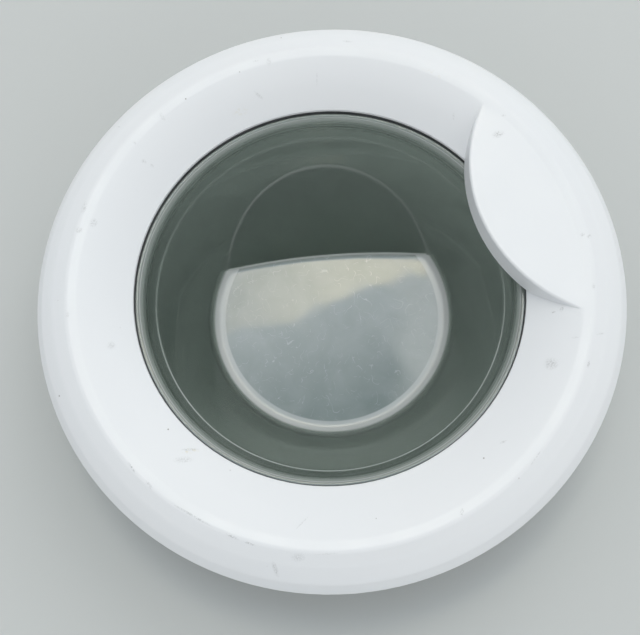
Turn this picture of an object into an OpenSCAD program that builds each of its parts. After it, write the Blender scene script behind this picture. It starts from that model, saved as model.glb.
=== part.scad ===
// Round door of a front-loading washing machine, lying face up on its glass bowl.
// +Z is the front of the door, +Y its top, the hinge is at -X and the latch at +X.
// Heights in the profiles are measured from the rear edge of the outer ring,
// and the whole door is lifted so that the bowl's flat bottom stands on z = 0.

/* [Outer ring] */
// Radius of the round opening in front of the glass
aperture_r = 157; // [140:0.5:175]
// Width of the ring, from its opening to its outer edge
ring_w = 78; // [72:0.5:86]
// Height of the opening's edge above the rear edge
aperture_h = 4; // [3:0.5:7]
// Distance from the outer edge to the crest that runs round the ring
crest_in = 29.5; // [26:0.5:32]
// Height of the crest's corner above the rear edge
crest_h = 24; // [22.5:0.5:28]
// Wall of the moulded ring
shell_t = 2.8; // [2:0.1:3.5]
// Sag of the inner slope below a straight line
slope_sag = 1; // [0:0.1:2]
// Stiffening ribs round the ring
rib_count = 24; // [12:6:36]
// Thickness of a stiffening rib
rib_t = 1.6; // [1:0.1:2.5]

/* [Grip] */
// Direction of the middle of the grip
grip_angle = 17; // [10:1:20]
// How far the grip's inner edge stands over the opening
grip_overhang = 25.5; // [20:0.5:30]
// Radius of the grip's inner edge, seen from the front
grip_arc_r = 129; // [115:1:140]
// Distance from the crest in to the crease where the grip's plate leaves it
crease_in = 8; // [6:0.5:10]
// Depth of the grip's flat plate below the crest
grip_drop = 2; // [1:0.25:3]
// Lean of the skirt, foot against top
skirt_draft = 2.2; // [1:0.1:4]
// Wall of the skirt and the plate
grip_t = 3; // [2:0.1:4]
// Rounding along the grip's edge
grip_round = 2.2; // [0.5:0.1:2.8]

/* [Glass bowl] */
// Thickness of the pressed glass
glass_t = 6; // [4:0.5:7]
// Width of the glass flange that lies behind the ring
flange_w = 10; // [8:0.5:12]
// Flat of the flange, from its edge in to where it turns down into the neck
flange_flat = 14; // [12:0.5:16]
// Run of the neck, from the flange's flat in to the step
neck_run = 11; // [8:0.5:14]
// Depth of the step below the rear edge
step_depth = 21; // [16:1:30]
// Run of the cone, from the step in to where it would meet the floor
cone_run = 39; // [32:1:46]
// Depth of the floor below the rear edge
bowl_depth = 80; // [70:1:95]
// Rounding between the cone and the floor
floor_round = 10; // [4:1:14]
// Distance from the door's axis to the floor's straight edge
facet_y = 52; // [40:1:70]
// Slope of the slanted facet above the straight edge
facet_slope = 27; // [20:1:35]

/* [Rear frame] */
// How far the frame's lip reaches under the glass flange
clamp_w = 7.5; // [6:0.1:8]
// Distance from the outer edge to where the deep channel ends
channel_in = 42; // [38:0.5:46]
// Depth of the channel below the rear edge
channel_depth = 12; // [11:0.5:14]
// Wall of the frame
frame_t = 2.5; // [2:0.1:3]
// Distance from the channel's end in to the circle of frame screws
screw_in = 7; // [6.5:0.1:8]
// Number of frame screws
screw_count = 8; // [4:4:12]
// Radius of a frame screw's shank
screw_r = 2; // [1.5:0.1:2.2]
// Length of a frame screw's shank
screw_length = 16; // [12:1:18]

/* [Hinge] */
// Distance from the outer edge to the hinge pin
hinge_in = 18; // [16.5:0.5:20]
// Height of the hinge pin above the rear edge
hinge_h = 4; // [4:0.5:6]
// Radius of the hinge pin
pin_r = 3; // [2.5:0.1:3.5]
// Half the length of the bracket's barrel
barrel_half = 20; // [15:0.5:22]
// Radius of the bracket's barrel
barrel_r = 6.5; // [6:0.1:7]
// Direction of the bracket's neck when the door is closed, below the horizontal
neck_angle = 40; // [38:1:42]
// Thickness of the bracket's neck
neck_t = 5; // [4:0.1:5.5]
// Depth of the bracket's plate below the rear edge when the door is closed
plate_depth = 17; // [16.5:0.5:19]
// Thickness of the bracket's plate
plate_t = 3.5; // [2.5:0.1:4.5]
// Width of the bracket's plate
plate_w = 30; // [26:1:32]
// Length of the bracket's plate
plate_l = 92; // [84:1:110]
// Distance between the bracket's two screw holes
hole_spacing = 68; // [62:1:72]
// Radius of the bracket's screw holes
hole_r = 3.3; // [2.5:0.1:4]
// Angle from closed at which the bracket hangs free
hang_angle = 59; // [0:1:90]

/* [Latch] */
// Distance from the outer edge to the latch pivot
latch_in = 22; // [20:0.5:24]
// Height of the latch pivot above the rear edge
latch_h = 3; // [2.5:0.5:3.5]
// Radius of the latch pin
latch_pin_r = 2; // [1.5:0.1:2.5]
// Reach of the hook below its pivot
hook_reach = 29; // [22:1:34]
// Thickness of the hook's shank
hook_t = 7; // [5:0.1:8]
// Width of the hook
hook_w = 9; // [6:0.5:10]

/* [Hidden] */

$fn = 96;
ring_fn = 180;
arc_step = 12;
slip = 0.3;
snug = 0.02;
running = 0.06;
far = 300;

rim_z = bowl_depth + glass_t;
ring_r = aperture_r + ring_w;
crest_r = ring_r - crest_in;
flank_w = 7;
flank_r = ring_r - flank_w;
flank_h = crest_h * 0.55;
rim_h = 3.5;
lip_under = aperture_h - shell_t;
rib_gap = 3;
wall_foot = 1.5;

flange_r = aperture_r + flange_w;
neck_r = flange_r - flange_flat;
step_r = neck_r - neck_run;
floor_r = step_r - cone_run;
seat_t = 2.5;
glass_top = lip_under - seat_t;
flange_under = glass_top - glass_t;
bed_gap = 0.2;
seat_inner_r = aperture_r - 0.8;
wall_r = flange_r + 1.6;
wall_t = 2.2;

frame_r = flange_r - clamp_w;
frame_lip_r = flange_r + 1.2;
channel_r = ring_r - channel_in;
frame_outer_r = ring_r - shell_t - 1;
frame_rear = 0.5;
channel_low = frame_rear - channel_depth;
channel_wall = 3;
frame_rib_h = 3;

grip_reach = aperture_r - grip_overhang;
grip_crease_r = crest_r - crease_in;
grip_h = crest_h - grip_drop;
pocket_w = 19;
pocket_r = aperture_r + pocket_w;
liner_t = 2.5;
liner_ear_half = 5;
liner_ear_spread = 13;
liner_ear_angles = [grip_angle - liner_ear_spread, grip_angle + liner_ear_spread];
liner_ear_r = pocket_r + 8;
ear_boss_r = 4.5;
liner_screw_l = 9.5;

boss_r = 4.5;
seat_boss_r = 6.5;
screw_circle_r = channel_r - screw_in;
screw_first = 180 / screw_count;
head_r = 4;
head_h = 2.2;
head_gap = 0.5;
counterbore = head_h + 0.3;
recess_w = 0.9;

hinge_x = ring_r - hinge_in;
slot_half = barrel_half + 9;
carrier_inner_x = wall_r + wall_t + 1.2;
slot_inner_x = carrier_inner_x + 16;
carrier_t = 2.5;
carrier_half = slot_half + 9;
gusset_low = 7;
gusset_high = 12;
bush_r = pin_r + 1.6;
bush_depth = 9;
bush_flange = 1;
ear_t = 3;
ear_inner = barrel_half + bush_flange + slip;
eye_r = pin_r + 3.5;
clip_t = 0.8;
clip_y = ear_inner + ear_t + 0.1;
groove_r = pin_r - 0.7;
pin_half = ear_inner + ear_t + 2.6;
hinge_screw_r = 2.5;
hinge_screw_l = 11;
hinge_head_r = 4.2;
hinge_head_h = 2;
hinge_screw_x = (slot_inner_x + carrier_inner_x) / 2;
hinge_screw_row = slot_half + 3;
hinge_screw_y = [-hinge_screw_row, 0, hinge_screw_row];
nut_side = 7.4;
nut_h = 2.7;
neck_foot = (hinge_h + plate_depth + plate_t / 2) / tan(neck_angle);
neck_half = barrel_half - 1;
web_y = neck_half - 7;
web_t = 3;

latch_x = ring_r - latch_in;
latch_cavity_half = hook_w / 2 + 4.5;
latch_block_half = latch_cavity_half + 3;
latch_flange_half = latch_block_half + 13;
latch_screw_y = latch_block_half + 7;
latch_cavity_x = hook_t / 2 + 2.5;
latch_block_x = latch_cavity_x + 4;
latch_flange_x = latch_block_x + 3;
latch_flange_t = 2.5;
latch_floor = 2;
latch_round = 4;
latch_screw_l = 9;
latch_top = 8;
hub_r = latch_pin_r + 2.6;
spring_wire_r = 0.5;
spring_coil_r = latch_pin_r + 1.2;
spring_pitch = 1.2;
spring_turns = 2;

buffer_angles = [60, 120, 240, 300];
buffer_in = 21;
buffer_r = ring_r - buffer_in;
buffer_head_r = 6;
buffer_stem_r = 3.2;
buffer_drop = 4;

grip_x = (grip_reach + grip_arc_r) * cos(grip_angle);
grip_y = (grip_reach + grip_arc_r) * sin(grip_angle);

white = "#e8ecef";
frame_grey = "#d9dde0";
rubber_grey = "#3a3d40";
glass_tint = [0.55, 0.63, 0.60, 0.45];
zinc = "#a9adb0";
steel = "#c3c7ca";

// Unit vector
function unit(v) = v / norm(v);

// Corner b between a and c, drawn as an arc of the given radius that touches both sides
function arc_corner(a, b, c, radius) =
    radius == 0 ? [b] :
    let (
        u = unit(a - b),
        w = unit(c - b),
        half = acos(u * w) / 2,
        centre = b + unit(u + w) * radius / sin(half),
        first = b + u * radius / tan(half) - centre,
        turn = 180 - 2 * half,
        side = cross(u, w) > 0 ? -1 : 1,
        steps = max(1, ceil(turn / arc_step)),
        start = atan2(first[1], first[0])
    )
    [for (k = [0 : steps]) centre + radius * [cos(start + side * turn * k / steps),
                                              sin(start + side * turn * k / steps)]];

// Outline of [x, y, radius] corners, closed, with each corner rounded by its own radius
function rounded(corners) =
    let (n = len(corners), flat = [for (c = corners) [c[0], c[1]]])
    [for (k = [0 : n - 1])
        each arc_corner(flat[(k + n - 1) % n], flat[k], flat[(k + 1) % n], corners[k][2])];

// Normal on the left of the way from a to b
function left_of(a, b) = let (u = unit(b - a)) [-u[1], u[0]];

// Open path of [x, y, radius] corners moved sideways by t, to its left for a positive t.
// A corner's radius grows or shrinks with the move, so the wall keeps one thickness.
function shifted(path, t) =
    let (n = len(path), flat = [for (c = path) [c[0], c[1]]])
    [for (k = [0 : n - 1])
        let (
            before = k == 0 ? left_of(flat[0], flat[1]) : left_of(flat[k - 1], flat[k]),
            after = k == n - 1 ? before : left_of(flat[k], flat[k + 1]),
            mitre = (before + after) / (1 + before * after),
            left_turn = cross(before, after) > 0,
            radius = path[k][2] == 0 ? 0 : max(0.3, path[k][2] + (left_turn ? -t : t)),
            moved = flat[k] + t * mitre
        )
        [moved[0], moved[1], radius]];

// Same path from its other end
function backwards(path) = [for (k = [len(path) - 1 : -1 : 0]) path[k]];

// Corner in the middle of the inner slope, below the straight line by the sag
function slope_corner() =
    let (x = (aperture_r + grip_crease_r) / 2, y = (aperture_h + grip_h) / 2)
    [x, y - slope_sag, 60];

// Front surface of the ring, from its opening to its rear edge
function ring_front() = [
    [aperture_r, aperture_h, 0],
    slope_corner(),
    [grip_crease_r, grip_h, 12],
    [crest_r, crest_h, 8],
    [crest_r + (flank_r - crest_r) * 0.55, crest_h * 0.84, 14],
    [flank_r, flank_h, 14],
    [ring_r, rim_h, 5],
    [ring_r, 0, 0]
];

// Rear surface of the ring's wall
function ring_rear() = shifted(ring_front(), -shell_t);

// Everything under the middle of the ring's wall, which trims ribs, bosses and the skirt
module under_shell() {
    middle = shifted(ring_front(), -shell_t / 2);
    last = middle[len(middle) - 1];
    rotate_extrude($fn = ring_fn)
        polygon(rounded(concat(
            [[aperture_r, -far / 4, 0], [aperture_r, aperture_h - shell_t / 2, 0]],
            [for (k = [1 : len(middle) - 1]) middle[k]],
            [[last[0], -far / 4, 0]])));
}

// Wall of the ring, with a flat seat under the edge of its opening
module ring_shell() {
    front = ring_front();
    rear = ring_rear();
    rotate_extrude($fn = ring_fn)
        polygon(rounded(concat(
            [[front[0][0], front[0][1], 1.2]],
            [for (k = [1 : len(front) - 1]) front[k]],
            backwards([for (k = [1 : len(rear) - 1]) rear[k]]),
            [[aperture_r + 6, lip_under, 0], [aperture_r, lip_under, 0.6]])));
}

// Ring of rectangular section between two radii and two heights
module band(r_in, r_out, low, high) {
    translate([0, 0, low]) difference() {
        cylinder(r = r_out, h = high - low, $fn = ring_fn);
        translate([0, 0, -1]) cylinder(r = r_in, h = high - low + 2, $fn = ring_fn);
    }
}

// Radius of the skirt's face at a height, moved in by an inset
function skirt_r(height, inset) =
    grip_arc_r - inset + (grip_h - height) * skirt_draft / (grip_h - aperture_h);

// Space behind the skirt and inside a circle round the door's axis. Its arc leans like
// the skirt and lies inset inside the skirt's face.
module grip_lens(r_outer, inset, low, high) {
    low_r = skirt_r(low, inset);
    high_r = skirt_r(high, inset);
    translate([0, 0, low]) intersection() {
        cylinder(r = r_outer, h = high - low, $fn = ring_fn);
        translate([grip_x, grip_y, 0])
            cylinder(r1 = low_r, r2 = high_r, h = high - low, $fn = ring_fn);
    }
}

// Flat plate with its skirt, turned about the middle of the grip's arc. Its edge runs
// into the crest a little past the crease.
module grip_plate() {
    intersection() {
        cylinder(r = grip_crease_r + 1.5, h = far, center = true, $fn = ring_fn);
        translate([grip_x, grip_y, 0]) rotate_extrude($fn = ring_fn)
            polygon(rounded([
                [0, grip_h, 0],
                [skirt_r(grip_h, 0), grip_h, grip_round],
                [skirt_r(aperture_h, 0), aperture_h, 0.8],
                [skirt_r(aperture_h, grip_t), aperture_h, 0.8],
                [skirt_r(grip_h - grip_t, grip_t), grip_h - grip_t, 0.6],
                [0, grip_h - grip_t, 0]
            ]));
    }
}

// Places a child at an angle and a radius round the door's axis
module around(angle, radius) {
    rotate([0, 0, angle]) translate([radius, 0, 0]) children();
}

// Angles of the frame screws
function screw_angles() = [for (k = [0 : screw_count - 1]) screw_first + k * 360 / screw_count];

// Angles of the ribs, without those that would meet the hinge or the latch
function rib_angles(first) = [
    for (k = [0 : rib_count - 1])
        let (
            a = first + k * 360 / rib_count,
            taken = cos(a) < 0 ? carrier_half : latch_screw_y + screw_r
        )
        if (abs(wall_r * sin(a)) > taken + rib_t / 2) a
];

// White moulding that is the whole front of the door, grip and all
module outer_ring() {
    color(white) translate([0, 0, rim_z]) difference() {
        union() {
            difference() {
                union() {
                    ring_shell();
                    intersection() {
                        under_shell();
                        union() {
                            band(wall_r, wall_r + wall_t, flange_under + wall_foot, crest_h);
                            for (a = rib_angles(180 / rib_count))
                                around(a, wall_r)
                                    translate([0, -rib_t / 2, lip_under + rib_gap])
                                        cube([ring_r - wall_r, rib_t, crest_h]);
                        }
                    }
                }
                grip_lens(grip_crease_r, grip_t / 2, -far / 10, grip_h - grip_t / 2);
            }
            difference() {
                grip_plate();
                under_shell();
            }
            intersection() {
                union() {
                    under_shell();
                    grip_lens(grip_crease_r, grip_t / 2, -far / 10, grip_h - grip_t / 2);
                }
                union() {
                    for (a = screw_angles())
                        around(a, screw_circle_r)
                            translate([0, 0, frame_seat_top() + slip])
                                cylinder(r = boss_r, h = crest_h - frame_seat_top());
                    for (a = liner_ear_angles)
                        around(a, liner_ear_r)
                            translate([0, 0, liner_top()])
                                cylinder(r = ear_boss_r, h = crest_h);
                }
            }
        }
        for (a = screw_angles())
            around(a, screw_circle_r)
                translate([0, 0, frame_seat_top() - 1])
                    cylinder(r = screw_r + snug, h = screw_length);
        for (a = liner_ear_angles)
            around(a, liner_ear_r)
                translate([0, 0, liner_top() - 1])
                    cylinder(r = screw_r + snug, h = liner_screw_l + 1.5);
    }
}

// Height of the frame's screw seats
function frame_seat_top() = channel_low + counterbore + frame_t - 0.5;

// Height of the liner's floor
function liner_top() = lip_under + liner_t;

// Tray that closes the ring behind the fingers, held by two ears
module grip_liner() {
    color(white) translate([0, 0, rim_z]) difference() {
        union() {
            intersection() {
                grip_lens(pocket_r + liner_t, grip_t + slip, lip_under,
                          grip_h - grip_t - slip);
                union() {
                    band(aperture_r, pocket_r + liner_t, lip_under, liner_top());
                    band(pocket_r, pocket_r + liner_t, lip_under, grip_h - grip_t - slip);
                }
            }
            for (a = liner_ear_angles)
                around(a, pocket_r + liner_t / 2)
                    translate([0, 0, lip_under]) {
                        translate([0, -liner_ear_half, 0])
                            cube([liner_ear_r - pocket_r, liner_ear_half * 2, liner_t - slip]);
                        translate([liner_ear_r - pocket_r - liner_t / 2, 0, 0])
                            cylinder(r = liner_ear_half, h = liner_t - slip);
                    }
        }
        for (a = liner_ear_angles)
            around(a, liner_ear_r)
                translate([0, 0, lip_under - 1]) cylinder(r = screw_r + 0.25, h = 6);
    }
}

// Cross-recessed pan-head screw, its head's underside at z = 0 and its shank upwards
module pan_screw(r_shank, length, r_head, h_head) {
    difference() {
        union() {
            cylinder(r = r_shank, h = length - r_shank);
            translate([0, 0, length - r_shank - 0.01])
                cylinder(r1 = r_shank, r2 = r_shank * 0.25, h = r_shank);
            translate([0, 0, -h_head]) rotate_extrude()
                polygon(rounded([[0, 0, 0], [r_head, 0, h_head * 0.45],
                                 [r_head, h_head, 0], [0, h_head, 0]]));
        }
        for (turn = [0, 90])
            rotate([0, 0, turn])
                translate([-r_head * 0.55, -recess_w / 2, -h_head - 1])
                    cube([r_head * 1.1, recess_w, 1 + h_head * 0.6]);
    }
}

// Screws that hold the liner's ears to the grip
module liner_screws() {
    color(zinc) translate([0, 0, rim_z])
        for (a = liner_ear_angles)
            around(a, liner_ear_r)
                translate([0, 0, lip_under]) pan_screw(screw_r, liner_screw_l, 3.4, 1.8);
}

// Dark ring that beds the glass flange under the edge of the opening
module glass_seat_ring() {
    color(rubber_grey) translate([0, 0, rim_z]) rotate_extrude($fn = ring_fn)
        polygon(rounded([
            [seat_inner_r, lip_under, 0.6],
            [seat_inner_r, glass_top, 0.4],
            [flange_r + bed_gap, glass_top, 0],
            [flange_r + bed_gap, flange_under, 0],
            [wall_r - bed_gap, flange_under, 0],
            [wall_r - bed_gap, lip_under, 0]
        ]));
}

// Inner surface of the glass, from the flange's edge to the middle of the floor
function glass_inside() = [
    [flange_r, glass_top, 0],
    [neck_r, glass_top, 4],
    [step_r, -step_depth, 10],
    [floor_r, -bowl_depth, floor_round],
    [0, -bowl_depth, 0]
];

// Everything above the slanted facet, or above its outside at a depth below it
module above_facet(depth) {
    translate([0, facet_y, -bowl_depth]) rotate([facet_slope, 0, 0])
        translate([-far, -far * 2, -depth]) cube([far * 2, far * 4, far * 2]);
}

// Pressed bowl: flange, neck, cone, D-shaped floor and the slanted facet above it
module glass_bowl() {
    inside = glass_inside();
    outside = shifted(inside, glass_t);
    color(glass_tint) translate([0, 0, rim_z]) difference() {
        intersection() {
            rotate_extrude($fn = ring_fn)
                polygon(rounded(concat([[0, glass_top, 0], [flange_r, glass_top, 1]],
                                       [[flange_r, flange_under, 1]],
                                       [for (k = [1 : len(outside) - 1]) outside[k]])));
            above_facet(glass_t);
        }
        intersection() {
            rotate_extrude($fn = ring_fn)
                polygon(rounded(concat([[0, far / 10, 0], [flange_r + 5, far / 10, 0],
                                        [flange_r + 5, glass_top, 0]],
                                       [for (k = [1 : len(inside) - 1]) inside[k]])));
            above_facet(0);
        }
    }
}

// Section of the rear frame: lip under the flange, deep channel, shallow outer land
module frame_shell() {
    rotate_extrude($fn = ring_fn)
        polygon(rounded([
            [frame_r, flange_under, 0.8],
            [frame_r, channel_low, 1.5],
            [channel_r + frame_t, channel_low, 3],
            [channel_r + frame_t + channel_wall, frame_rear, 1],
            [frame_outer_r, frame_rear, 0.8],
            [frame_outer_r, frame_rear + frame_t, 0],
            [channel_r + channel_wall, frame_rear + frame_t, 3],
            [channel_r, channel_low + frame_t, 1],
            [frame_lip_r, channel_low + frame_t, 0],
            [frame_lip_r, flange_under, 0]
        ]));
}

// Moulded frame that closes the back, clamps the glass and carries hinge and latch
module inner_ring() {
    color(frame_grey) translate([0, 0, rim_z]) difference() {
        union() {
            frame_shell();
            for (a = screw_angles())
                around(a, screw_circle_r)
                    translate([0, 0, channel_low + frame_t / 2])
                        cylinder(r = seat_boss_r, h = frame_seat_top() - channel_low - frame_t / 2);
            for (a = rib_angles(0))
                around(a, wall_r + wall_t + 1)
                    translate([0, -rib_t / 2, channel_low + frame_t / 2])
                        cube([channel_r - wall_r - wall_t, rib_t, frame_t + frame_rib_h]);
        }
        for (a = screw_angles())
            around(a, screw_circle_r) {
                translate([0, 0, channel_low - 1]) cylinder(r = screw_r + slip, h = far / 10);
                translate([0, 0, channel_low - 1])
                    cylinder(r = head_r + head_gap, h = counterbore + 1);
            }
        translate([-far, -slot_half, -far / 2]) cube([far - slot_inner_x, slot_half * 2, far]);
        for (y = hinge_screw_y)
            translate([-hinge_screw_x, y, channel_low - 1])
                cylinder(r = hinge_screw_r + slip, h = frame_t + 2);
        translate([latch_x - latch_block_x - slip, -latch_block_half - slip, -far / 2])
            cube([latch_block_x * 2 + slip * 2, latch_block_half * 2 + slip * 2, far]);
        for (side = [-1, 1])
            translate([latch_x, side * latch_screw_y, -1]) cylinder(r = screw_r + snug, h = 8);
        for (a = buffer_angles)
            around(a, buffer_r) translate([0, 0, -1]) cylinder(r = buffer_stem_r + 0.1, h = 8);
    }
}

// Screws that draw the frame up to the outer ring and clamp the glass between them
module frame_screws() {
    color(steel) translate([0, 0, rim_z + channel_low + counterbore])
        for (a = screw_angles())
            around(a, screw_circle_r) pan_screw(screw_r, screw_length, head_r, head_h);
}

// Soft plugs on which the door meets the front of the machine
module door_buffers() {
    high = frame_rear + frame_t;
    color(rubber_grey) translate([0, 0, rim_z])
        for (a = buffer_angles)
            around(a, buffer_r) rotate_extrude($fn = 48)
                polygon(rounded([
                    [0, frame_rear - buffer_drop, 0],
                    [buffer_head_r - 1, frame_rear - buffer_drop, 2],
                    [buffer_head_r, frame_rear, 0],
                    [buffer_stem_r, frame_rear, 0],
                    [buffer_stem_r, high + 0.1, 0],
                    [buffer_stem_r + 1, high + 0.1, 0.3],
                    [buffer_stem_r - 0.6, high + 2.4, 0.4],
                    [0, high + 2.4, 0]
                ]));
}

// Moves a child that is drawn round the hinge pin to its place
module at_hinge() {
    translate([-hinge_x, 0, rim_z + hinge_h]) children();
}

// Rod along Y, centred
module rod(radius, half) {
    rotate([90, 0, 0]) cylinder(r = radius, h = half * 2, center = true);
}

// Pressed carrier inside the door, with one ear at each end of the pin
module hinge_carrier() {
    drop = channel_low + frame_t - hinge_h;
    inner = hinge_x - carrier_inner_x;
    outer = hinge_x - slot_inner_x;
    color(zinc) at_hinge() difference() {
        union() {
            translate([outer, -carrier_half, drop])
                cube([inner - outer, carrier_half * 2, carrier_t]);
            for (side = [-1, 1])
                translate([0, side * (ear_inner + ear_t / 2), 0])
                    rotate([90, 0, 0]) linear_extrude(ear_t, center = true) {
                        polygon([[outer - ear_t, drop], [inner, drop],
                                 [inner, drop + gusset_low],
                                 [outer - ear_t * 2, drop + gusset_high],
                                 [eye_r * 0.15, eye_r * 0.95], [-eye_r * 0.45, -eye_r * 0.77]]);
                        circle(r = eye_r);
                    }
        }
        rod(pin_r + snug, far);
        for (y = hinge_screw_y)
            translate([hinge_x - hinge_screw_x, y, drop - 1])
                cylinder(r = hinge_screw_r + 0.15, h = carrier_t + 2);
    }
}

// Machine screws that hold the carrier to the rear frame
module hinge_screws() {
    color(steel) translate([-hinge_screw_x, 0, rim_z + channel_low])
        for (y = hinge_screw_y)
            translate([0, y, 0])
                pan_screw(hinge_screw_r, hinge_screw_l, hinge_head_r, hinge_head_h);
}

// Square nuts on top of the carrier
module hinge_nuts() {
    color(steel) translate([-hinge_screw_x, 0, rim_z + channel_low + frame_t + carrier_t])
        for (y = hinge_screw_y)
            translate([0, y, 0]) difference() {
                translate([-nut_side / 2, -nut_side / 2, 0]) cube([nut_side, nut_side, nut_h]);
                translate([0, 0, -1]) cylinder(r = hinge_screw_r + snug, h = nut_h + 2);
            }
}

// Steel pin of the hinge, with a groove at each end for its clip
module hinge_pin() {
    color(steel) at_hinge() difference() {
        rod(pin_r, pin_half);
        for (side = [-1, 1])
            translate([0, side * (clip_y + clip_t / 2), 0]) difference() {
                rod(pin_r + 1, clip_t / 2);
                rod(groove_r, clip_t);
            }
    }
}

// Open spring clips in the pin's grooves
module pin_clips() {
    thin = 0.05;
    color(zinc) at_hinge()
        for (side = [-1, 1])
            translate([0, side * (clip_y + clip_t / 2), 0]) difference() {
                rod(pin_r + 2, clip_t / 2 - thin);
                rod(groove_r + snug, clip_t);
                translate([0, 0, 4]) cube([pin_r * 1.4, clip_t * 2, 8], center = true);
            }
}

// Turns a child from the closed position to the one in which it hangs free
module hanging() {
    rotate([0, hang_angle, 0]) children();
}

// Nylon bushes pressed into both ends of the bracket's barrel
module hinge_bushes() {
    color("#e9e4d4") at_hinge() hanging()
        for (side = [0, 1])
            mirror([0, side, 0]) rotate([-90, 0, 0]) translate([0, 0, barrel_half - bush_depth])
                difference() {
                    union() {
                        cylinder(r = bush_r, h = bush_depth + bush_flange);
                        translate([0, 0, bush_depth]) cylinder(r = barrel_r, h = bush_flange);
                    }
                    translate([0, 0, -1])
                        cylinder(r = pin_r + running, h = bush_depth + bush_flange + 2);
                }
}

// Cast bracket that is screwed to the front of the machine
module hinge_bracket() {
    top = -(hinge_h + plate_depth);
    nx = sin(neck_angle) * neck_t / 2;
    nz = cos(neck_angle) * neck_t / 2;
    foot = [neck_foot, top - plate_t / 2];
    end_x = neck_foot + plate_w;
    color(zinc) at_hinge() hanging() difference() {
        union() {
            rod(barrel_r, barrel_half);
            rotate([90, 0, 0]) linear_extrude(neck_half * 2, center = true)
                polygon(rounded([
                    [nx, nz, 0],
                    [-nx, -nz, 0],
                    [foot[0] - nx, foot[1] - nz, 3],
                    [foot[0] + 3, top - plate_t, 0],
                    [foot[0] + 9, top - plate_t, 0],
                    [foot[0] + 9, top, 0],
                    [foot[0] + 4, top, 3]
                ]));
            translate([0, 0, top - plate_t]) linear_extrude(plate_t)
                polygon(rounded([
                    [neck_foot + 2, -plate_l / 2, 6],
                    [end_x, -plate_l / 2, 6],
                    [end_x, plate_l / 2, 6],
                    [neck_foot + 2, plate_l / 2, 6]
                ]));
            for (y = [-web_y, 0, web_y])
                translate([0, y, 0]) rotate([90, 0, 0]) linear_extrude(web_t, center = true)
                    polygon([[foot[0] - 4, foot[1] + 2], [end_x - 10, top - 0.5],
                             [foot[0] + 6, top + 0.8], [foot[0] - 7, foot[1] + 9]]);
        }
        rod(pin_r + 0.5, barrel_half + 1);
        for (side = [-1, 1])
            translate([0, side * (barrel_half - bush_depth / 2 + 0.5), 0])
                rod(bush_r + snug, bush_depth / 2 + 0.5);
        for (side = [-1, 1])
            translate([neck_foot + plate_w / 2 + 2, side * hole_spacing / 2, top - plate_t - 1])
                cylinder(r = hole_r, h = plate_t + 2);
    }
}

// Moves a child that is drawn round the latch pivot to its place
module at_latch() {
    translate([latch_x, 0, rim_z + latch_h]) children();
}

// Housing that drops into the frame from behind and carries the hook
module latch_housing() {
    flange_top = frame_rear - latch_h;
    color("#54585b") at_latch() difference() {
        union() {
            translate([-latch_block_x, -latch_block_half, flange_top - latch_flange_t])
                cube([latch_block_x * 2, latch_block_half * 2,
                      latch_top - flange_top + latch_flange_t]);
            translate([0, 0, flange_top - latch_flange_t]) linear_extrude(latch_flange_t)
                polygon(rounded([
                    [-latch_flange_x, -latch_flange_half, latch_round],
                    [latch_flange_x, -latch_flange_half, latch_round],
                    [latch_flange_x, latch_flange_half, latch_round],
                    [-latch_flange_x, latch_flange_half, latch_round]
                ]));
        }
        translate([-latch_cavity_x, -latch_cavity_half, -far / 4])
            cube([latch_cavity_x * 2, latch_cavity_half * 2, far / 4 + latch_top - latch_floor]);
        rod(latch_pin_r + snug, latch_block_half + 1);
        for (side = [-1, 1])
            translate([0, side * latch_screw_y, -far / 4])
                cylinder(r = screw_r + 0.25, h = far / 4 + 2);
    }
}

// Screws at both ends of the latch housing
module latch_screws() {
    color(steel) translate([latch_x, 0, rim_z + frame_rear - latch_flange_t])
        for (side = [-1, 1])
            translate([0, side * latch_screw_y, 0]) pan_screw(screw_r, latch_screw_l, 3.6, 2);
}

// Pin on which the hook swings
module latch_pin() {
    color(steel) at_latch() rod(latch_pin_r, latch_block_half);
}

// Point of the spring's wire: one leg on the hook, the turns, one leg on the housing
function spring_path() =
    let (
        steps = 14,
        y0 = hook_w / 2 + spring_wire_r * 2,
        y1 = y0 + spring_pitch * spring_turns
    )
    concat(
        [[hook_t / 2 - slip, y0, -9], [spring_coil_r, y0, -5]],
        [for (k = [0 : steps * spring_turns])
            let (a = 360 * k / steps)
            [spring_coil_r * cos(a), y0 + spring_pitch * k / steps, spring_coil_r * sin(a)]],
        [[spring_coil_r, y1, -3], [latch_cavity_x - spring_wire_r - slip, y1, -4.5]]);

// Round wire along a path, closed at both ends
module wire(path, radius, sides) {
    n = len(path);
    tangents = [for (k = [0 : n - 1]) unit(path[min(k + 1, n - 1)] - path[max(k - 1, 0)])];
    rings = [for (k = [0 : n - 1])
        let (
            across = unit(cross(tangents[k], [0, 1, 0.02])),
            other = cross(tangents[k], across)
        )
        for (s = [0 : sides - 1])
            path[k] + radius * (cos(360 * s / sides) * across + sin(360 * s / sides) * other)];
    walls = [for (k = [0 : n - 2], s = [0 : sides - 1])
        let (t = (s + 1) % sides)
        each [[k * sides + s, k * sides + t, (k + 1) * sides + t],
              [k * sides + s, (k + 1) * sides + t, (k + 1) * sides + s]]];
    ends = [[for (s = [sides - 1 : -1 : 0]) s], [for (s = [0 : sides - 1]) (n - 1) * sides + s]];
    polyhedron(rings, concat(walls, ends));
}

// Torsion spring that holds the hook upright
module latch_spring() {
    color(steel) at_latch() wire(spring_path(), spring_wire_r, 8);
}

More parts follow.
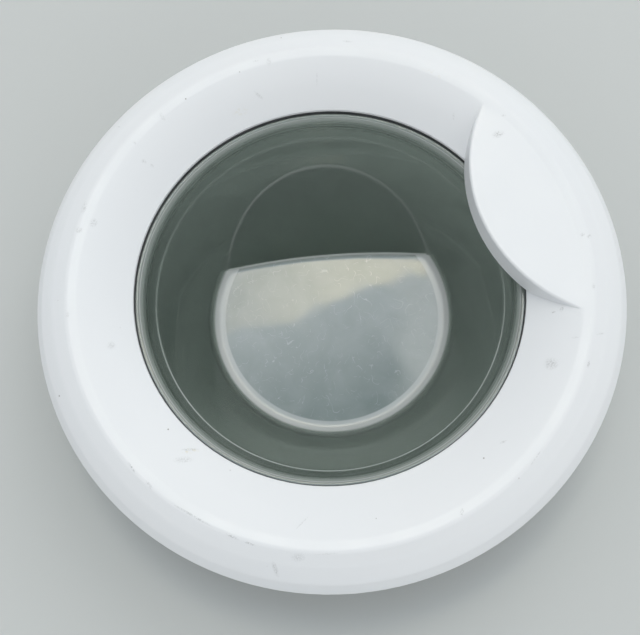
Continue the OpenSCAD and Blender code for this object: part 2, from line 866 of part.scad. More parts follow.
// Cast hook: hub, shank and a nose that points outwards
module latch_hook() {
    color(zinc) at_latch() difference() {
        union() {
            rod(hub_r, hook_w / 2);
            rotate([90, 0, 0]) linear_extrude(hook_w, center = true)
                polygon(rounded([
                    [-hook_t / 2, 0, 0],
                    [-hook_t / 2, -hook_reach, 3],
                    [hook_t / 2 + 1, -hook_reach, 2],
                    [hook_t / 2 + 6.5, -hook_reach + 9, 1],
                    [hook_t / 2 + 5, -hook_reach + 10.5, 1],
                    [hook_t / 2 - 0.5, -hook_reach + 9.5, 2],
                    [hook_t / 2 - 0.5, 0, 0]
                ]));
        }
        rod(latch_pin_r + running, hook_w);
    }
}

outer_ring();
grip_liner();
liner_screws();
glass_seat_ring();
glass_bowl();
inner_ring();
frame_screws();
door_buffers();
hinge_carrier();
hinge_screws();
hinge_nuts();
hinge_pin();
pin_clips();
hinge_bushes();
hinge_bracket();
latch_housing();
latch_screws();
latch_pin();
latch_spring();
latch_hook();
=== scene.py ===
import math

import bmesh
import bpy
import numpy as np
from mathutils import Matrix, Vector


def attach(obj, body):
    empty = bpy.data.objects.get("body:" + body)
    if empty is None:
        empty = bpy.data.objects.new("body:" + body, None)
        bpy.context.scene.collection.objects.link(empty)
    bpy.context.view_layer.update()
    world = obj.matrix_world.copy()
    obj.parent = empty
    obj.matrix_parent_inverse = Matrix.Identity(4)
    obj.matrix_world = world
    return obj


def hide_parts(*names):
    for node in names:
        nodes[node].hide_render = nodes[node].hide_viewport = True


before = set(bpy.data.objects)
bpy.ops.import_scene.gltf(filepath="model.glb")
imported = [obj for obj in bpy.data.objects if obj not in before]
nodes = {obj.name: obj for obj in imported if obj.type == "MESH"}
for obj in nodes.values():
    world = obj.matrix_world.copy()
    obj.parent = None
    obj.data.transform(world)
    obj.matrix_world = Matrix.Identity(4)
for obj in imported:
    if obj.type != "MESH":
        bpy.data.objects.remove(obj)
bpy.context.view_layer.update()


# Glass seat ring: an extruded elastomer strip, dark grey, joined into a hoop and pressed
# over the edge of the glass flange. Only its thin lip shows at the opening of the white ring.
def new_material(name, **even):
    """A material with one Principled shader. Values that are even all over are set on the
    shader's own sockets, whose names are written here with _ for a space."""
    made = bpy.data.materials.new(name)
    made.use_nodes = True
    shader = made.node_tree.nodes["Principled BSDF"]
    for socket, value in even.items():
        shader.inputs[socket.replace("_", " ")].default_value = value
    return made, made.node_tree, shader


def put(tree, kind, choices=None, inputs=None):
    """Adds a node with its choices. Inputs are given by name or by place, each a value or an
    output to link."""
    made = tree.nodes.new("ShaderNode" + kind)
    for choice, value in (choices or {}).items():
        setattr(made, choice, value)
    given = inputs or {}
    pairs = given.items() if isinstance(given, dict) else enumerate(given)
    for place, value in pairs:
        if isinstance(value, bpy.types.NodeSocket):
            tree.links.new(value, made.inputs[place])
        else:
            made.inputs[place].default_value = value
    return made


def in_place(tree):
    """The point on the piece, in the frame that all pieces share."""
    return put(tree, "TexCoord").outputs["Object"]


def noise(tree, point, scale, detail=4.0, distortion=0.0):
    """Cloudy pattern from 0 to 1 with this many clouds a metre."""
    return put(tree, "TexNoise", {}, {
        "Vector": point, "Scale": scale, "Detail": detail, "Distortion": distortion,
    }).outputs["Fac"]


def spread(tree, value, low, high, to_low=0.0, to_high=1.0):
    """The value stretched so that low becomes to_low and high becomes to_high, and held there."""
    return put(tree, "MapRange", {}, {
        "Value": value, "From Min": low, "From Max": high, "To Min": to_low, "To Max": to_high,
    }).outputs["Result"]


def tinted(tree, share, first, second):
    """Colour between the first and the second by a share from 0 to 1."""
    made = put(tree, "Mix", {"data_type": "RGBA"}, [share])
    for place, value in ((6, first), (7, second)):
        if isinstance(value, bpy.types.NodeSocket):
            tree.links.new(value, made.inputs[place])
        else:
            made.inputs[place].default_value = (*value, 1.0)
    return made.outputs[2]


def relief(tree, shader, height, depth):
    """Raises and lowers the shader's surface by the height times the depth, in metres."""
    made = put(tree, "Bump", {}, {"Height": height, "Distance": depth, "Strength": 1.0})
    tree.links.new(made.outputs["Normal"], shader.inputs["Normal"])


def moulded(name, colour, other, cloud, grain, grain_depth, gloss, **even):
    """Plastic, rubber or metal: two close colours in soft clouds, so many a metre, a fine grain in
    relief, so many grains a metre, and a roughness that wanders between the two of gloss."""
    made, tree, shader = new_material(name, **even)
    point = in_place(tree)
    clouds = noise(tree, point, cloud, 5.0)
    tree.links.new(tinted(tree, spread(tree, clouds, 0.35, 0.65), colour, other),
                   shader.inputs["Base Color"])
    tree.links.new(spread(tree, noise(tree, point, cloud * 3, 6.0), 0.3, 0.7, *gloss),
                   shader.inputs["Roughness"])
    relief(tree, shader, noise(tree, point, grain, 3.0), grain_depth)
    return made


def dress(node, made):
    """Gives a CAD node its material."""
    nodes[node].data.materials.clear()
    nodes[node].data.materials.append(made)


rubber = moulded("dark_elastomer", (0.022, 0.025, 0.027), (0.045, 0.048, 0.05), cloud=60.0,
                 grain=2500.0, grain_depth=0.00006, gloss=(0.42, 0.7))
dress("glass_seat_ring", rubber)

# Glass bowl: one gob of clear soda-lime glass pressed in a mould, with a flat flange, a short
# neck, a cone, a D-shaped floor and a slanted facet that keeps the laundry off the opening.
# Its faces wander a little from true, as pressed glass does, and years of use have dulled it.
# Some of the pale bands laid in with its dust are painted: highlights along the edges of its floor,
# on its step and on its neck, and reflections on its flange and lower cone.
rim_z = 0.086
glass_t = 0.006
glass_top = -0.0013
flange_r, neck_r, step_r, floor_r = 0.167, 0.153, 0.142, 0.103
step_z, floor_z = -0.021, -0.080
edge_round, neck_round, step_round = 0.001, 0.004, 0.010
facet_y, facet_arch, facet_slope = 0.0555, 0.82, math.radians(27)
floor_ease, cone_ease = 0.0016, 0.0022
inner_ripple, outer_ripple = 0.00003, 0.00011
grid_step, arc_points, columns = 0.0016, 9, 300


def rounded(corners, points):
    """Path through corners of x, y and radius: straight lines, with each corner replaced by the
    arc of its radius that touches the lines on both sides."""
    path = [corners[0][:2]]
    for before, corner, after in zip(corners[:-2], corners[1:-1], corners[2:]):
        b = np.array(corner[:2])
        u = np.array(before[:2]) - b
        w = np.array(after[:2]) - b
        u, w = u / np.linalg.norm(u), w / np.linalg.norm(w)
        half = math.acos(float(u @ w)) / 2
        centre = b + (u + w) / np.linalg.norm(u + w) * corner[2] / math.sin(half)
        start = b + u * corner[2] / math.tan(half) - centre
        side = -1 if u[0] * w[1] - u[1] * w[0] > 0 else 1
        turn = side * np.linspace(0, math.pi - 2 * half, points)
        path += list(np.column_stack([
            centre[0] + start[0] * np.cos(turn) - start[1] * np.sin(turn),
            centre[1] + start[0] * np.sin(turn) + start[1] * np.cos(turn),
        ]))
    return np.array([*path, corners[-1][:2]], float)


def filled_in(path, step):
    """The same path with points added along it, no further apart than the step."""
    lengths = np.linalg.norm(np.diff(path, axis=0), axis=1)
    parts = [path[:1]]
    for a, b, length in zip(path[:-1], path[1:], lengths):
        share = np.arange(1, max(1, math.ceil(length / step)) + 1)[:, None]
        parts.append(a + (b - a) * share / share[-1])
    return np.vstack(parts)


def moved_aside(corners, distance):
    """Corners of the path that runs this far to the left of the given one."""
    flat = np.array([c[:2] for c in corners])
    along = np.diff(flat, axis=0)
    along /= np.linalg.norm(along, axis=1)[:, None]
    left = np.column_stack([-along[:, 1], along[:, 0]])
    before = np.vstack([left[:1], left])
    after = np.vstack([left, left[-1:]])
    mitre = (before + after) / (1 + (before * after).sum(1))[:, None]
    turn = before[:, 0] * after[:, 1] - before[:, 1] * after[:, 0]
    radii = np.array([c[2] for c in corners]) + np.where(turn > 0, -distance, distance)
    return [(*p, max(r, 0.0003)) for p, r in zip(flat + distance * mitre, radii)]


def eased_max(a, b, width):
    """The higher of two heights, with the crease between them eased over the width."""
    near = np.clip(width - np.abs(a - b), 0, None) / width
    return np.maximum(a, b) + near * near * width / 4


def closed_turn(rows, columns):
    """Faces of a grid that closes on itself sideways, with a point at each end."""
    base = np.arange(rows - 1)[:, None] * columns
    here = np.arange(columns)
    ahead = (here + 1) % columns
    quads = np.stack([base + here, base + columns + here, base + columns + ahead, base + ahead],
                     axis=-1).reshape(-1, 4)
    first, last = rows * columns, rows * columns + 1
    foot = (rows - 1) * columns
    caps = np.vstack([np.column_stack([np.full(columns, first), here, ahead]),
                      np.column_stack([np.full(columns, last), foot + ahead, foot + here])])
    return quads, caps


def new_piece(name, points, faces, made, body):
    """A smooth-shaded piece from points and lists of faces, riding on a body."""
    mesh = bpy.data.meshes.new(name)
    mesh.from_pydata(points.tolist(), [], [f.tolist() for part in faces for f in part])
    mesh.polygons.foreach_set("use_smooth", np.ones(len(mesh.polygons), bool))
    mesh.materials.append(made)
    mesh.update()
    piece = bpy.data.objects.new(name, mesh)
    bpy.context.scene.collection.objects.link(piece)
    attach(piece, body)
    return piece


def ripples(x, y):
    """Slow waves from about -1.5 to 1.5: a sine 9 cm long times one 10 cm long, and half a sine
    4 cm long that runs slantwise."""
    return np.sin(x * 71 + 1.3) * np.sin(y * 63 + 0.4) + np.sin((x + y) * 118) * 0.5


inside = [(flange_r, glass_top, edge_round), (neck_r, glass_top, neck_round),
          (step_r, step_z, step_round), (floor_r, floor_z, step_round), (0.0, floor_z, 0.0)]
outside = moved_aside(inside, glass_t)
lower_edge = (flange_r, glass_top - glass_t, edge_round)
section = filled_in(rounded([*inside[::-1], lower_edge, *outside[1:]], arc_points), grid_step)
inner_rows = int(np.argmax(section[:, 0]))

turn = np.linspace(0, 2 * math.pi, columns, endpoint=False)
r = section[1:-1, 0][:, None]
x, y = r * np.cos(turn), r * np.sin(turn)
height = section[1:-1, 1][:, None] + 0 * turn
facet = floor_z + (y + facet_arch * x ** 2 - facet_y) * math.tan(facet_slope)
on_inside = np.arange(len(r))[:, None] < inner_rows
facet = np.where(on_inside, facet, facet - glass_t / math.cos(facet_slope))
ease = np.where(r < floor_r - 0.004, floor_ease, cone_ease)
height = np.where(r < neck_r, eased_max(height, facet, ease), height)
ripple = np.where(on_inside, inner_ripple, outer_ripple) * np.clip(1 - (r / neck_r) ** 8, 0, 1)
height += ripple * ripples(x, y)
height = np.where(on_inside, height, np.maximum(height, -rim_z))

points = np.stack([x, y, height + rim_z], axis=-1).reshape(-1, 3)
ends = np.array([[0, 0, floor_z + rim_z], [0, 0, floor_z - glass_t + rim_z]])
quads, caps = closed_turn(len(r), columns)


def maths(tree, operation, *values, held=True):
    """One step of arithmetic, held between 0 and 1 unless told otherwise."""
    return put(tree, "Math", {"operation": operation, "use_clamp": held}, values).outputs[0]


def across(tree, operation, *values):
    """One step of arithmetic on vectors that gives a number."""
    return put(tree, "VectorMath", {"operation": operation}, values).outputs["Value"]


def band(tree, value, middle, half, level_part=0.0):
    """1 where the value is at the middle, 0 where it is half a width away or more. The level
    part of the half width stays at 1."""
    above = maths(tree, "SUBTRACT", value, middle, held=False)
    off = maths(tree, "ABSOLUTE", above, held=False)
    return spread(tree, off, half * level_part, half, 1.0, 0.0)


def hairlines(tree, point, scale, turn):
    """Fine curved scratches from 0 to 1: the level lines of a soft cloud, turned by the angles,
    kept only where a second cloud is high."""
    local = put(tree, "Mapping", {}, {"Vector": point, "Rotation": turn}).outputs["Vector"]
    line = band(tree, noise(tree, local, scale, 1.0), 0.5, 0.024)
    return maths(tree, "MULTIPLY", line,
                 spread(tree, noise(tree, local, scale * 1.7, 2.0), 0.46, 0.58))


def specks(tree, point, scale, size, share):
    """Round specks from 0 to 1, of this size in cells, in this share of the cells."""
    cells = put(tree, "TexVoronoi", {}, {"Vector": point, "Scale": scale})
    chosen = put(tree, "SeparateColor", {}, {"Color": cells.outputs["Color"]}).outputs[0]
    dot = spread(tree, cells.outputs["Distance"], size * 0.5, size, 1.0, 0.0)
    return maths(tree, "MULTIPLY", dot, spread(tree, chosen, 1 - share, 1 - share + 0.02))


def layer(tree, *shares):
    """The product of several shares from 0 to 1."""
    whole = shares[0]
    for share in shares[1:]:
        whole = maths(tree, "MULTIPLY", whole, share)
    return whole


glass, tree, shader = new_material("pressed_glass", IOR=1.5)
# The pale grey is the colour of the dust and also of the painted highlights and reflections below.
tint, dust_and_highlight_grey = (0.36, 0.42, 0.38), (0.66, 0.69, 0.68)
point = in_place(tree)
floor_level, step_level = rim_z + floor_z, rim_z + step_z
pale_band_level, pale_band_half = 0.050, 0.020
hair_layers = ((52.0, (0.3, 0.2, 0.0)), (64.0, (1.1, 0.4, 2.0)), (80.0, (0.5, 1.3, 4.0)),
               (72.0, (1.7, 0.9, 1.0)))

sideways, along_y, level = put(tree, "SeparateXYZ", {}, {"Vector": point}).outputs
sideways_square = maths(tree, "MULTIPLY", sideways, sideways, held=False)
up_facet = maths(tree, "MULTIPLY_ADD", sideways_square, facet_arch, along_y, held=False)
flat_place = put(tree, "VectorMath", {"operation": "MULTIPLY"}, [point, (1, 1, 0)]).outputs["Vector"]
from_axis = across(tree, "LENGTH", flat_place)
grit = spread(tree, noise(tree, point, 420.0, 4.0, 0.8), 0.35, 0.7, 0.8, 1.0)
low_down = spread(tree, level, floor_level + 0.006, floor_level + 0.010, 1.0, 0.0)
below_facet = spread(tree, up_facet, facet_y, facet_y + 0.0015, 1.0, 0.0)
on_floor = layer(tree, low_down, below_facet,
                 spread(tree, from_axis, floor_r - 0.002, floor_r + 0.003, 1.0, 0.0))
# Painted highlight: a pale band on the rounded edge of the floor, where the glass mirrors the sky.
corner_highlight = layer(tree, low_down, below_facet, 0.80,
                     band(tree, from_axis, floor_r - 0.0042, 0.0088, 0.45))
# Painted highlight: a pale line along the facet's edge on the floor.
facet_highlight = layer(tree, low_down, 0.74, band(tree, up_facet, facet_y + 0.0008, 0.0016, 0.4),
                   spread(tree, from_axis, floor_r - 0.001, floor_r + 0.002, 1.0, 0.0))
# Painted highlight: a pale line along the step, stronger towards -Y.
step_highlight = layer(tree, band(tree, from_axis, step_r + 0.0012, 0.0012),
                  spread(tree, level, step_level - 0.005, step_level - 0.002),
                  spread(tree, along_y, 0.08, -0.06, 0.3, 0.85))
near_top = spread(tree, level, step_level + 0.003, step_level + 0.007)
# Partly scuffs on the flange, partly a painted reflection of the sky on its top face.
flange_scuffs_and_reflection = layer(tree, near_top, 0.60,
                    spread(tree, from_axis, neck_r - 0.0036, neck_r - 0.0018))
# Painted highlight: a pale line on the rounded shoulder where the flange turns down into the neck.
neck_highlight = layer(tree, near_top, 0.80, band(tree, from_axis, neck_r + 0.0002, 0.0018))
# Partly limescale grit, partly a painted reflection of the sky: a pale band on the cone, on the -Y
# side only.
lime_and_reflection = layer(tree, band(tree, level, pale_band_level, pale_band_half, 0.6), grit, 0.33,
             spread(tree, along_y, -0.06, -0.125))
hairs = 0.0
for scale, turn in hair_layers:
    hairs = maths(tree, "MAXIMUM", hairlines(tree, point, scale, turn), hairs)
hairs = layer(tree, hairs, on_floor, 0.76)
dots = layer(tree, specks(tree, point, 210.0, 0.09, 0.12), 0.7)
clouds = spread(tree, noise(tree, point, 34.0, 6.0, 0.6), 0.35, 0.75)
veil = maths(tree, "MAXIMUM", layer(tree, clouds, 0.05),
             layer(tree, spread(tree, clouds, 0, 1, 0.585, 0.645), on_floor))
# The dust, scratches and specks together with the painted highlights and reflections above: they
# pale the glass, dull its shine and let less light through.
dust_and_highlights = veil
for film in (corner_highlight, facet_highlight, step_highlight, flange_scuffs_and_reflection, neck_highlight, lime_and_reflection, hairs, dots):
    dust_and_highlights = maths(tree, "MAXIMUM", dust_and_highlights, film)
tree.links.new(tinted(tree, spread(tree, dust_and_highlights, 0.50, 0.80), tint, dust_and_highlight_grey),
               shader.inputs["Base Color"])
tree.links.new(spread(tree, dust_and_highlights, 0.0, 1.0, 1.0, 0.25), shader.inputs["Transmission Weight"])
tree.links.new(spread(tree, dust_and_highlights, 0.66, 1.0, 0.015, 0.4), shader.inputs["Roughness"])
bowl = new_piece("pressed_bowl", np.vstack([points, ends]), (quads, caps), glass, "door")
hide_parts("glass_bowl")

# Outer ring: one injection moulding of white ABS, the whole front of the door with its grip,
# skirt, ribs and bosses. It came off a polished tool, so it has a satin gloss, and it has the
# scuffs, hairline scratches and specks of dirt of a door that was taken off its machine.
opening_z = 0.090
slope_foot, slope_foot_z = 0.15776, 0.0903
crest_line, crest_z, crest_lean = 0.20476, 0.10968, 0.07
slope_leans, crown_share = (93, 125), 0.7
crease_angle = 35


def merged_copy(node, name, play=0.000002):
    """A CAD node's mesh with its doubled points merged, where they are no further apart than the
    play: the mesh, its points and its triangles as rows of three places in the points."""
    mesh = nodes[node].data.copy()
    mesh.name = name
    merged = bmesh.new()
    merged.from_mesh(mesh)
    bmesh.ops.remove_doubles(merged, verts=merged.verts, dist=play)
    merged.to_mesh(mesh)
    merged.free()
    points = np.empty(len(mesh.vertices) * 3)
    corners = np.empty(len(mesh.loops), int)
    mesh.vertices.foreach_get("co", points)
    mesh.loops.foreach_get("vertex_index", corners)
    return mesh, points.reshape(-1, 3), corners.reshape(-1, 3)


def outwards(points):
    """Unit vectors from the Z axis to the points, level with them."""
    return points[:, :2] / np.maximum(np.linalg.norm(points[:, :2], axis=1), 1e-9)[:, None]


def slants(points, corners):
    """Of each triangle: its area, its normal, its middle, its normal's parts away from the Z axis
    and along it, and whether it lies on a cone round that axis, with hardly any of its normal
    sideways."""
    a, b, c = points[corners].transpose(1, 0, 2)
    normal = np.cross(b - a, c - a) / 2
    area = np.linalg.norm(normal, axis=1)
    normal /= np.maximum(area, 1e-15)[:, None]
    middle = (a + b + c) / 3
    away = outwards(middle)
    out = (normal[:, :2] * away).sum(1)
    side = normal[:, 1] * away[:, 0] - normal[:, 0] * away[:, 1]
    return area, normal, middle, out, normal[:, 2], np.abs(side) < 0.03


def shade_by_size(mesh, points, corners, crease):
    """Gives each corner its own normal. The triangles of one plane, or of one cone round the Z
    axis, count as one face. A corner's normal is the mean of the faces that meet there at less
    than the crease angle, in proportion to their size, each turned to the corner's place."""
    half_degrees, half_mm, twentieth_mm, slant_steps, no_cone = 2, 2000, 20000, 300, 9000
    area, normal, middle, out, up, turned = slants(points, corners)
    lean = np.degrees(np.arctan2(up, out))
    reach = out * np.linalg.norm(middle[:, :2], axis=1) + up * middle[:, 2]
    cone = np.column_stack([lean * half_degrees, reach * half_mm, 0 * up, 0 * up])
    plane = np.column_stack([normal * slant_steps + no_cone,
                             (normal * middle).sum(1) * twentieth_mm])
    face = np.unique(np.where(turned[:, None], cone, plane).round().astype(int), axis=0,
                     return_inverse=True)[1].ravel()
    size = np.bincount(face, area)
    mean_out = (np.bincount(face, area * out) / size)[face]
    mean_up = (np.bincount(face, area * up) / size)[face]

    point = corners.ravel()
    of = np.repeat(np.arange(len(corners)), 3)
    away = outwards(points[point])
    own = np.where(turned[of, None],
                   np.column_stack([mean_out[of, None] * away, mean_up[of]]), normal[of])
    pair, times = np.unique(point * len(size) + face[of], return_inverse=True,
                            return_counts=True)[1:]
    weight = size[face[of]] / times[pair.ravel()]

    order = np.argsort(point, kind="stable")
    here = np.bincount(point)[point[order]]
    first = np.searchsorted(point[order], point[order])
    step = np.arange(here.sum()) - np.repeat(np.cumsum(here) - here, here)
    left = order[np.repeat(np.arange(len(order)), here)]
    right = order[np.repeat(first, here) + step]
    close = (own[left] * own[right]).sum(1) > math.cos(math.radians(crease))
    share = np.where(close, weight[right], 0.0)
    mean = np.column_stack([np.bincount(left, share * own[right, axis]) for axis in range(3)])
    mean /= np.maximum(np.linalg.norm(mean, axis=1), 1e-12)[:, None]
    mesh.polygons.foreach_set("use_smooth", np.ones(len(mesh.polygons), bool))
    mesh.normals_split_custom_set(mean.tolist())


def stand_in(mesh, node, body, made):
    """An object of the mesh in the CAD node's place."""
    mesh.materials.clear()
    mesh.materials.append(made)
    piece = bpy.data.objects.new(mesh.name, mesh)
    bpy.context.scene.collection.objects.link(piece)
    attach(piece, body)
    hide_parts(node)
    return piece


def crown_slope(points, corners, share):
    """Crowns the ring's slope: its height above the glass becomes, by this share, that of a
    parabola that meets the opening at its old height and leaves the crest nearly level."""
    middle, out, up, turned = slants(points, corners)[2:]
    lean = np.degrees(np.arctan2(up, out))
    slope = turned & (lean > slope_leans[0]) & (lean < slope_leans[1])
    slope &= middle[:, 2] > opening_z - 0.0008
    slope &= np.linalg.norm(middle[:, :2], axis=1) < crest_line
    chosen = np.unique(corners[slope])
    r = np.linalg.norm(points[chosen, :2], axis=1)
    from_crest = np.clip(crest_line - r, 0, crest_line - slope_foot)
    run = crest_line - slope_foot
    drop = crest_z - slope_foot_z - crest_lean * run
    crowned = crest_z - crest_lean * from_crest - drop * (from_crest / run) ** 2
    lift = np.clip(crowned - points[chosen, 2], 0, None) * share
    points[chosen, 2] += np.where(r > slope_foot, lift, 0.0)


def ovals(tree, point, rows):
    """The strongest of several soft ovals, from 0 to 1. Each row has a strength, the middle's x
    and y, the turn in degrees, the length and the width, in mm. An oval is 1 up to a third of
    the way from its middle and fades to 0 at its edge."""
    whole = 0.0
    for strength, x, y, angle, length, width in rows:
        local = put(tree, "Mapping", {"vector_type": "TEXTURE"}, {
            "Vector": point, "Location": (x / 1000, y / 1000, 0),
            "Rotation": (0, 0, math.radians(angle)), "Scale": (length / 2000, width / 2000, 10),
        }).outputs["Vector"]
        mark = spread(tree, across(tree, "LENGTH", local), 0.35, 1.0, strength, 0.0)
        whole = maths(tree, "MAXIMUM", mark, whole)
    return whole


white, tree, shader = new_material("white_abs", IOR=1.5)
point = in_place(tree)
crest_scuffs = [
    (0.35, -191, 77, 75, 12, 5), (0.40, -195, 58, 20, 7, 6), (0.40, -184, 64, 60, 9, 7),
    (0.35, -126, 153, 120, 9, 4), (0.45, -164, 150, 150, 5, 2), (0.35, -46, 197, 10, 6, 2),
    (0.30, 32, 209, -10, 10, 3), (0.40, 201, 20, 60, 5, 4), (0.45, 206, 18, 60, 5, 4),
    (0.35, 203, -23, 80, 7, 3), (0.35, 203, -60, 5, 9, 2), (0.60, 190, -83, 70, 7, 3),
    (0.30, -204, -12, 80, 5, 4), (0.50, -53, -214, -75, 13, 4), (0.30, -36, -207, 0, 12, 7),
]
scratches = [
    (0.70, -155, -134, -60, 11, 1.8), (0.45, -142, -148, -60, 10, 3), (0.55, -111, -172, -33, 38, 2),
    (0.55, -83, -189, -28, 13, 2.4), (0.60, -70, -195, -24, 10, 2), (0.30, -15, -206, 0, 20, 1.4),
    (0.40, -32, -183, 42, 16, 1.4), (0.40, 142, -149, 48, 20, 1.4), (0.60, -114, -122, 0, 14, 2.4),
    (0.30, 4, 180, 85, 14, 1.4), (0.35, 184, -61, 0, 7, 2),
]
slope_scuffs = [
    (0.35, -149, 131, 140, 5, 3), (0.40, -143, 116, 130, 5, 4), (0.40, -137, 113, 130, 4, 3),
    (0.35, -118, -130, 0, 16, 6), (0.35, -172, -37, 90, 8, 7), (0.35, -35, 196, 80, 7, 5),
    (0.40, -46, 170, -40, 11, 3), (0.40, 114, 135, 85, 7, 2), (0.50, 147, 112, 15, 12, 7),
    (0.60, 153, 128, 0, 4, 2), (0.90, 178, -37, 60, 5, 3), (0.80, 172, -38, 0, 4, 2),
    (0.45, 164, -79, 0, 12, 11), (0.55, 84, -184, 75, 7, 3), (0.50, 121, -135, 20, 7, 2),
]
stains = [
    (0.30, -62, 158, 10, 16, 7), (0.25, 100, 172, -35, 24, 6), (0.60, -114, -123, 0, 16, 5),
]
cool_white, plain_white = (0.795, 0.816, 0.836), (0.808, 0.824, 0.838)
stain_tan, scuff_grey, grime_brown = (0.70, 0.66, 0.52), (0.36, 0.37, 0.37), (0.16, 0.14, 0.11)

scuffs = layer(tree, ovals(tree, point, crest_scuffs + scratches + slope_scuffs),
               spread(tree, noise(tree, point, 1000.0, 5.0, 0.8), 0.42, 0.60))
stained = layer(tree, ovals(tree, point, stains),
                spread(tree, noise(tree, point, 400.0, 5.0, 0.8), 0.46, 0.64))
grime = layer(tree, specks(tree, point, 85.0, 0.07, 0.16), 0.7)
clouds = spread(tree, noise(tree, point, 4.0, 2.0), 0.35, 0.65)
base = tinted(tree, clouds, cool_white, plain_white)
base = tinted(tree, stained, base, stain_tan)
base = tinted(tree, scuffs, base, scuff_grey)
base = tinted(tree, grime, base, grime_brown)
tree.links.new(base, shader.inputs["Base Color"])
satin = spread(tree, noise(tree, point, 40.0, 6.0), 0.3, 0.7, 0.29, 0.39)
tree.links.new(maths(tree, "ADD", satin, maths(tree, "MULTIPLY", scuffs, 0.35)),
               shader.inputs["Roughness"])

mesh, points, corners = merged_copy("outer_ring", "front_ring")
crown_slope(points, corners, crown_share)
mesh.vertices.foreach_set("co", points.ravel())
shade_by_size(mesh, points, corners, crease_angle)
stand_in(mesh, "outer_ring", "door", white)

# Grip liner: a thin white tray snapped and screwed behind the grip, so that fingers meet a
# closed pocket and not the ribs.
dress("grip_liner", white)

# Rear frame: a pale grey polypropylene moulding with a fine spark-eroded grain, screwed to the
# outer ring from behind so that the glass flange is clamped between them.
frame_plastic = moulded("grained_polypropylene", (0.66, 0.685, 0.70), (0.62, 0.645, 0.665),
                        cloud=14.0, grain=1600.0, grain_depth=0.00004, gloss=(0.38, 0.52))
dress("inner_ring", frame_plastic)

# Screws, nuts, clips, pins, spring and hinge carrier: headed, wound or pressed from steel, with a
# pale zinc coat. They hold the frame, the hinge and the latch in place.
zinc_steel = moulded("zinc_plated_steel", (0.58, 0.60, 0.62), (0.66, 0.67, 0.66), cloud=160.0,
                     grain=1800.0, grain_depth=0.00002, gloss=(0.24, 0.42), Metallic=1.0)
for node in ("frame_screws", "liner_screws", "hinge_screws", "hinge_nuts", "hinge_pin",
             "pin_clips", "latch_screws", "latch_pin", "latch_spring", "hinge_carrier"):
    dress(node, zinc_steel)

# Door buffers: four soft plugs of the same elastomer, pushed into the rear frame, on which the
# shut door rests against the machine.
dress("door_buffers", rubber)

# Hinge bracket and latch hook: die-cast zinc, tumbled, with a dull skin. The bracket turns on
# the pin in the carrier, and the hook on its pin in the housing.
cast_zinc = moulded("die_cast_zinc", (0.36, 0.37, 0.38), (0.45, 0.455, 0.46), cloud=90.0,
                    grain=900.0, grain_depth=0.00008, gloss=(0.42, 0.6), Metallic=1.0)
dress("hinge_bracket", cast_zinc)
dress("latch_hook", cast_zinc)

# Hinge bushes: two flanged sleeves moulded in natural nylon, turned yellowish, and pressed into
# both ends of the bracket's barrel.
nylon = moulded("natural_nylon", (0.70, 0.66, 0.55), (0.66, 0.62, 0.5), cloud=80.0, grain=1500.0,
                grain_depth=0.00002, gloss=(0.35, 0.5))
dress("hinge_bushes", nylon)

# Latch housing: a box moulded in dark grey, glass-filled nylon and screwed to the rear frame. It
# carries the hook, its pin and its spring.
latch_plastic = moulded("filled_nylon", (0.035, 0.038, 0.042), (0.05, 0.053, 0.057), cloud=70.0,
                        grain=2200.0, grain_depth=0.00005, gloss=(0.4, 0.6))
dress("latch_housing", latch_plastic)

# Floor: a plain pale sheet, wide enough to reach the horizon. The door lies on it, on the flat
# of its bowl.
floor_size, floor_grey = 60.0, (0.60, 0.62, 0.61)
sheet_mesh = bpy.data.meshes.new("floor_sheet")
half = floor_size / 2
sheet_mesh.from_pydata([(-half, -half, 0), (half, -half, 0), (half, half, 0), (-half, half, 0)],
                       [], [(0, 1, 2, 3)])
floor_sheet = bpy.data.objects.new("floor_sheet", sheet_mesh)
floor_sheet.location.z = -0.0002
bpy.context.scene.collection.objects.link(floor_sheet)
floor_paint, tree, shader = new_material("floor_paint", Roughness=0.9)
shader.inputs["Base Color"].default_value = (*floor_grey, 1.0)
sheet_mesh.materials.append(floor_paint)

# Sky and lamp: an overcast sky, pale all round, brighter beyond the door's top and low on the
# camera's side, with a bright cloud overhead that the bowl's floor mirrors and one dark spot
# behind the camera. One broad lamp stands beyond the door's top.
horizon_pale, zenith_grey = (0.92, 0.94, 0.96), (0.42, 0.43, 0.45)
top_glow, front_glow, dark_spot = (1.0, 1.02, 1.03), (1.35, 1.38, 1.4), (0.14, 0.15, 0.15)
cloud_dark, cloud_blue, cloud_side = (0.55, 0.95, 1.25), (3.9, 4.3, 4.7), (5.0, 5.3, 5.5)
cloud_pale, cloud_warm = (5.1, 5.15, 5.0), (8.2, 7.8, 6.5)
world = bpy.data.worlds.new("overcast")
bpy.context.scene.world = world
world.use_nodes = True
tree = world.node_tree
looked = put(tree, "TexCoord").outputs["Generated"]


def patched(tree, sky, side, edge, middle, colour):
    """The sky with a colour round a side: none of it at the edge's angle from there, all of it at
    the middle's."""
    dot = across(tree, "DOT_PRODUCT", looked, tuple(Vector(side).normalized()))
    share = spread(tree, dot, math.cos(math.radians(edge)), math.cos(math.radians(middle)))
    return tinted(tree, share, sky, colour)


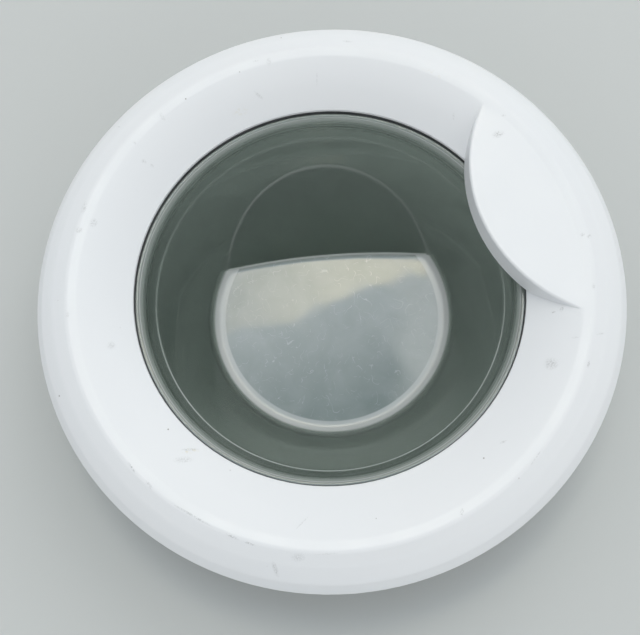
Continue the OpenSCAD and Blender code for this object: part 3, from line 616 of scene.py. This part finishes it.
rightwards, _, upwards = put(tree, "SeparateXYZ", {}, {"Vector": looked}).outputs
slantwise = across(tree, "DOT_PRODUCT", looked, (-0.25, 1.0, 0.0))
ragged = maths(tree, "MULTIPLY_ADD", noise(tree, looked, 25.0, 4.0, 0.6), 0.03, slantwise,
               held=False)
cloud = tinted(tree, spread(tree, slantwise, 0.17, 0.285), cloud_dark, cloud_blue)
cloud = tinted(tree, spread(tree, rightwards, 0.05, 0.08, 0.0, 0.8), cloud, cloud_side)
lit_cloud = tinted(tree, spread(tree, rightwards, -0.12, 0.01), cloud_pale, cloud_warm)
cloud = tinted(tree, spread(tree, ragged, 0.296, 0.308), cloud, lit_cloud)
sky = tinted(tree, spread(tree, upwards, 0.1, 0.8), horizon_pale, zenith_grey)
sky = patched(tree, sky, (0.25, 0.57, 0.78), 60, 20, top_glow)
sky = patched(tree, sky, (0.25, -1.0, 0.1), 50, 15, front_glow)
sky = patched(tree, sky, (0.0, 0.245, 0.97), 15, 9, cloud)
sky = patched(tree, sky, (0.0, -0.545, 0.839), 30, 14, dark_spot)
tree.links.new(sky, tree.nodes["Background"].inputs["Color"])

lamp = bpy.data.lights.new("broad_lamp", "AREA")
lamp.shape = "DISK"
lamp.size = 1.6
lamp.energy = 7.5
lamp_object = bpy.data.objects.new("broad_lamp", lamp)
lamp_object.location = (0.9, 1.5, 1.9)
lit_point = Vector((0, 0, 0.08))
lamp_object.rotation_euler = (lit_point - lamp_object.location).to_track_quat("-Z", "Y").to_euler()
bpy.context.scene.collection.objects.link(lamp_object)

# Camera: held above the door's lower edge, a little off the vertical, and turned a little, so
# that the top of the picture lies to the right of the door's top.
stand, aim = Vector((0.0072, -0.2188, 0.7751)), Vector((-0.00831, -0.02359, 0.086))
picture_up = Vector((0.0698, 0.9976, 0.0))
camera = bpy.data.cameras.new("camera")
camera.sensor_width = 36.0
camera.lens = 50.625
camera_object = bpy.data.objects.new("camera", camera)
ahead = (aim - stand).normalized()
right = ahead.cross(picture_up).normalized()
above = right.cross(ahead)
camera_object.matrix_world = Matrix.Translation(stand) @ Matrix(
    (right, above, -ahead)).transposed().to_4x4()
bpy.context.scene.collection.objects.link(camera_object)
bpy.context.scene.camera = camera_object
bpy.context.scene.view_settings.view_transform = "Standard"
